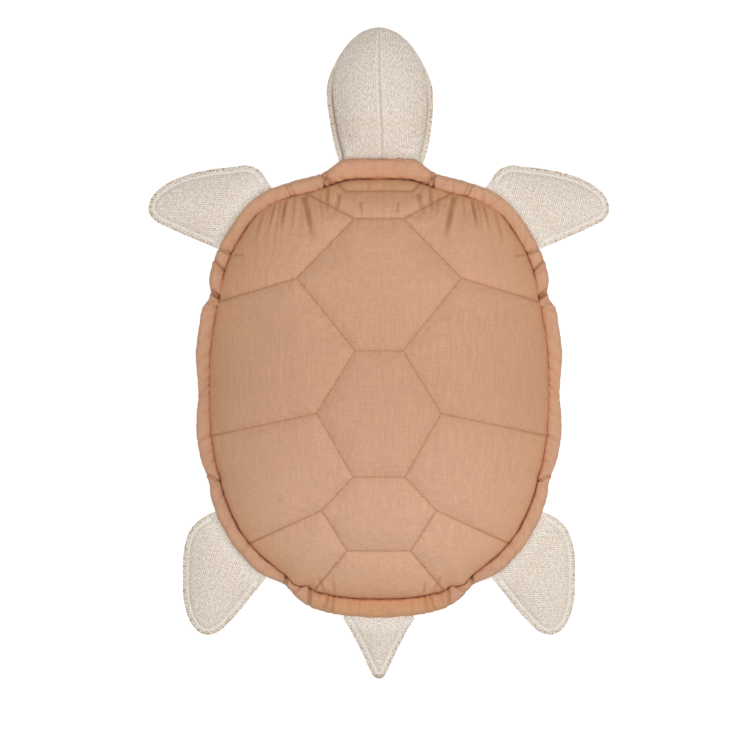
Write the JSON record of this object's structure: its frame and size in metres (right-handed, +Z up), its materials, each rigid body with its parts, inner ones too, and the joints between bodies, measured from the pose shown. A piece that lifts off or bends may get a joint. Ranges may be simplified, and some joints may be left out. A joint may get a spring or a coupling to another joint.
{
  "type": "turtle cushion",
  "caption": "Floor cushion in the form of a sea turtle: a quilted domed shell with a padded rim over a stuffed body, and a stuffed head, flippers and tail hinged at their seams.",
  "frame": {"origin": "the middle of the shell's footprint, on the floor that the belly lies on", "axes": "+Y towards the head, +Z up out of the shell, +X to the turtle's own right"},
  "size_m": [0.4964, 0.7019, 0.122],
  "materials": {
    "quilted_cotton": "clay-coloured plain-weave cotton with fine upright slubs, quilted along the scute lines",
    "rim_cotton": "the same clay-coloured cotton over a padded roll, gathered at the curves",
    "belly_cotton": "the same clay-coloured cotton, smooth and unquilted",
    "natural_weave": "coarse undyed cotton and linen basket weave with brown flecks",
    "stuffing": "white loose polyester fibre, hidden inside the covers"
  },
  "bodies": {
    "shell": {"quilted_top": "quilted_cotton", "belly_panel": "belly_cotton", "body_filling": "stuffing", "rim_roll": "rim_cotton", "neck_band": "rim_cotton", "head_tab": "natural_weave", "front_left_flipper_tab": "natural_weave", "front_right_flipper_tab": "natural_weave", "rear_left_flipper_tab": "natural_weave", "rear_right_flipper_tab": "natural_weave", "tail_tab": "natural_weave"},
    "head": {"head_crown_left": "natural_weave", "head_crown_right": "natural_weave", "head_underside": "natural_weave", "head_filling": "stuffing"},
    "front_left_flipper": {"front_left_flipper_top": "natural_weave", "front_left_flipper_underside": "natural_weave", "front_left_flipper_filling": "stuffing"},
    "front_right_flipper": {"front_right_flipper_top": "natural_weave", "front_right_flipper_underside": "natural_weave", "front_right_flipper_filling": "stuffing"},
    "rear_left_flipper": {"rear_left_flipper_top": "natural_weave", "rear_left_flipper_underside": "natural_weave", "rear_left_flipper_filling": "stuffing"},
    "rear_right_flipper": {"rear_right_flipper_top": "natural_weave", "rear_right_flipper_underside": "natural_weave", "rear_right_flipper_filling": "stuffing"},
    "tail": {"tail_top": "natural_weave", "tail_underside": "natural_weave", "tail_filling": "stuffing"}
  },
  "joints": [
    {"name": "head_nod", "type": "hinge", "parent": "shell", "child": "head", "pos_m": [0, 0.255, 0.0222], "axis": [1, 0, 0], "range_deg": [0, 35]},
    {"name": "front_left_flipper_lift", "type": "hinge", "parent": "shell", "child": "front_left_flipper", "pos_m": [-0.1517, 0.19347, 0.0222], "axis": [0.6359, 0.7717, 0], "range_deg": [0, 75]},
    {"name": "front_right_flipper_lift", "type": "hinge", "parent": "shell", "child": "front_right_flipper", "pos_m": [0.1517, 0.19347, 0.0222], "axis": [0.6359, -0.7717, 0], "range_deg": [0, 75]},
    {"name": "rear_left_flipper_lift", "type": "hinge", "parent": "shell", "child": "rear_left_flipper", "pos_m": [-0.15641, -0.16722, 0.0222], "axis": [-0.6018, 0.7987, 0], "range_deg": [0, 75]},
    {"name": "rear_right_flipper_lift", "type": "hinge", "parent": "shell", "child": "rear_right_flipper", "pos_m": [0.15641, -0.16722, 0.0222], "axis": [-0.6018, -0.7987, 0], "range_deg": [0, 75]},
    {"name": "tail_lift", "type": "hinge", "parent": "shell", "child": "tail", "pos_m": [0, -0.24298, 0.0222], "axis": [-1, 0, 0], "range_deg": [0, 70]}
  ]
}
